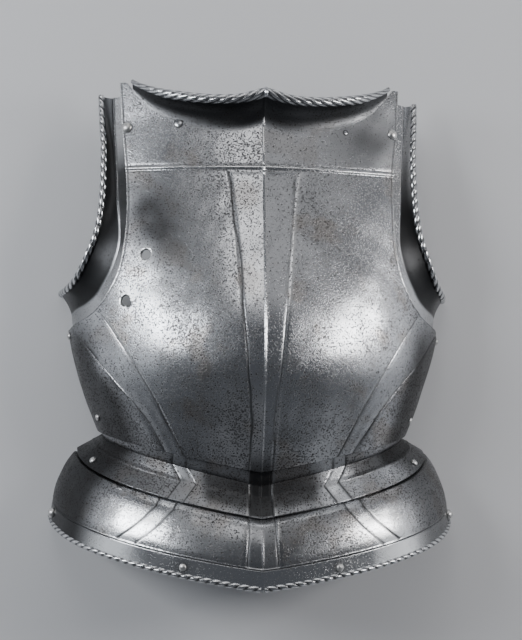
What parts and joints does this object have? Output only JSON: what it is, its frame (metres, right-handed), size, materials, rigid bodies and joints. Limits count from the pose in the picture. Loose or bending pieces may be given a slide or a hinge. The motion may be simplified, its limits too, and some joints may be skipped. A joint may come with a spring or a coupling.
{
  "type": "cuirass breastplate",
  "caption": "Steel breastplate with sunk bands, roped neck and arm edges, riveted arm gussets, a flanged waist plate and a hinged skirt lame, open at the back.",
  "frame": {"origin": "middle of the bounding box, on the plane that the side edges rest on", "axes": "+X to the wearer's left arm, +Y up to the neck, +Z forward out of the chest"},
  "size_m": [0.3936, 0.4676, 0.153],
  "materials": {
    "polished_steel": "cool mid-grey forged steel, worn and finely pitted",
    "worn_steel": "the same steel, duller and scratched at the waist",
    "dark_steel": "the same steel, darker and smoother",
    "bright_steel": "polished iron rivet heads"
  },
  "bodies": {
    "plate": {"breastplate": "polished_steel", "waist_plate": "worn_steel", "shoulder_rivet_left": "bright_steel", "shoulder_rivet_right": "bright_steel", "foot_rivet_left": "bright_steel", "foot_rivet_right": "bright_steel", "waist_rivet_left": "bright_steel", "waist_rivet_right": "bright_steel", "flange_rivet_left": "bright_steel", "flange_rivet_right": "bright_steel"},
    "skirt": {"skirt": "polished_steel", "strap_rivet_left": "bright_steel", "strap_rivet_right": "bright_steel", "rim_rivet_left": "bright_steel", "rim_rivet_right": "bright_steel"},
    "gusset_left": {"gusset_left": "dark_steel"},
    "gusset_right": {"gusset_right": "dark_steel"}
  },
  "joints": [
    {"name": "skirt_swing", "type": "hinge", "parent": "plate", "child": "skirt", "pos_m": [0, -0.12815, 0.0508], "axis": [1, 0, 0], "range_deg": [0, 2.5]},
    {"name": "gusset_left_turn", "type": "hinge", "parent": "plate", "child": "gusset_left", "pos_m": [0.1263, 0.18585, 0.05818], "axis": [-0.4241, -0.1673, -0.89], "range_deg": [0, 1.2]},
    {"name": "gusset_right_turn", "type": "hinge", "parent": "plate", "child": "gusset_right", "pos_m": [-0.1263, 0.18585, 0.05818], "axis": [-0.4241, 0.1673, 0.89], "range_deg": [0, 1.2]}
  ]
}
